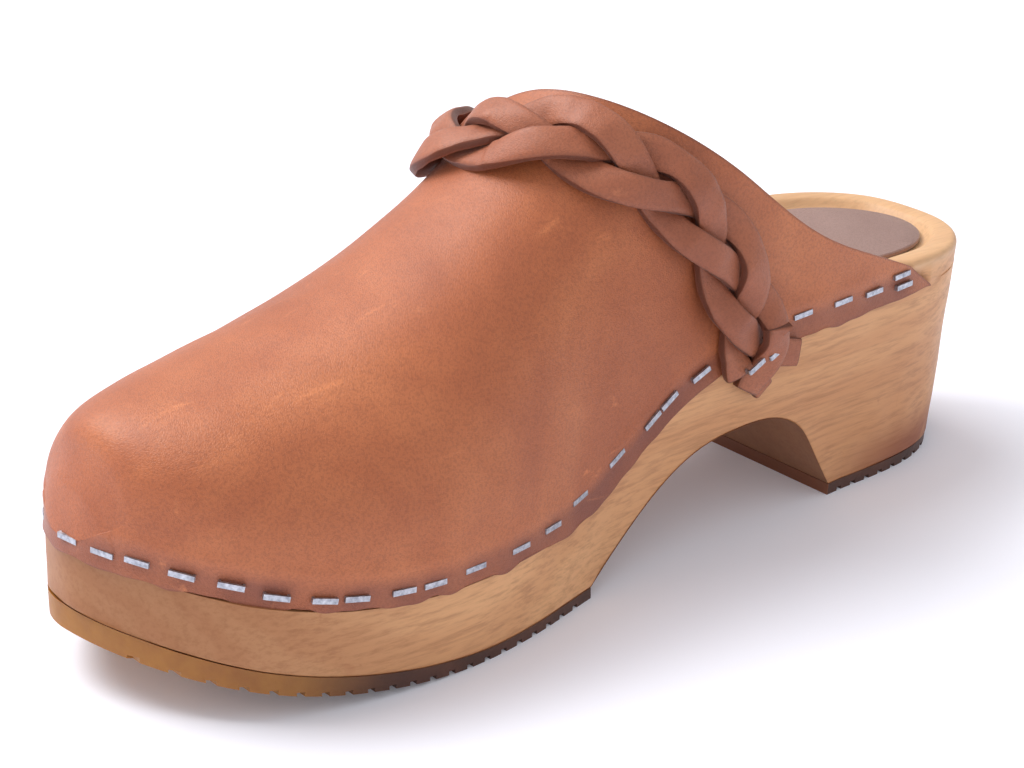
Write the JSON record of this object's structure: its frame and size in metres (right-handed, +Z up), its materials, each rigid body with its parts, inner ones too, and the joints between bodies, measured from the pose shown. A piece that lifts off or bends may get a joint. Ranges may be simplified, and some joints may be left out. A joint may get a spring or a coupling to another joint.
{
  "type": "wooden clog",
  "caption": "Right-foot clog with a carved wooden sole, an open-backed leather upper stapled round its edge, a plaited leather strap over the instep and ribbed rubber treads.",
  "frame": {"origin": "middle of the bounding box, on the floor", "axes": "+Z up, -Y towards the tip of the toe, +Y towards the heel, +X towards the inner (big toe) side"},
  "size_m": [0.0928, 0.2626, 0.1133],
  "materials": {
    "sole_wood": "pale, lightly waxed",
    "upper_leather": "oiled tan",
    "plait_leather": "matte tan with raw edges",
    "sock_leather": "thin, matte",
    "front_rubber": "amber brown",
    "heel_rubber": "dark brown",
    "staple_steel": "bright flat wire"
  },
  "bodies": {
    "root": {"front_tread": "front_rubber", "heel_sock": "sock_leather", "heel_tread": "heel_rubber", "leather_upper": "upper_leather", "plait_strand_1": "plait_leather", "plait_strand_2": "plait_leather", "plait_strand_3": "plait_leather", "staple_inner_01": "staple_steel", "staple_inner_02": "staple_steel", "staple_inner_03": "staple_steel", "staple_inner_04": "staple_steel", "staple_inner_05": "staple_steel", "staple_inner_06": "staple_steel", "staple_inner_07": "staple_steel", "staple_inner_08": "staple_steel", "staple_inner_09": "staple_steel", "staple_inner_10": "staple_steel", "staple_inner_11": "staple_steel", "staple_inner_12": "staple_steel", "staple_inner_13": "staple_steel", "staple_inner_14": "staple_steel", "staple_inner_15": "staple_steel", "staple_inner_16": "staple_steel", "staple_inner_17": "staple_steel", "staple_inner_18": "staple_steel", "staple_inner_19": "staple_steel", "staple_inner_20": "staple_steel", "staple_inner_21": "staple_steel", "staple_inner_22": "staple_steel", "staple_inner_23": "staple_steel", "staple_inner_24": "staple_steel", "staple_inner_25": "staple_steel", "staple_outer_01": "staple_steel", "staple_outer_02": "staple_steel", "staple_outer_03": "staple_steel", "staple_outer_04": "staple_steel", "staple_outer_05": "staple_steel", "staple_outer_06": "staple_steel", "staple_outer_07": "staple_steel", "staple_outer_08": "staple_steel", "staple_outer_09": "staple_steel", "staple_outer_10": "staple_steel", "staple_outer_11": "staple_steel", "staple_outer_12": "staple_steel", "staple_outer_13": "staple_steel", "staple_outer_14": "staple_steel", "staple_outer_15": "staple_steel", "staple_outer_16": "staple_steel", "staple_outer_17": "staple_steel", "wooden_sole": "sole_wood"}
  },
  "joints": []
}
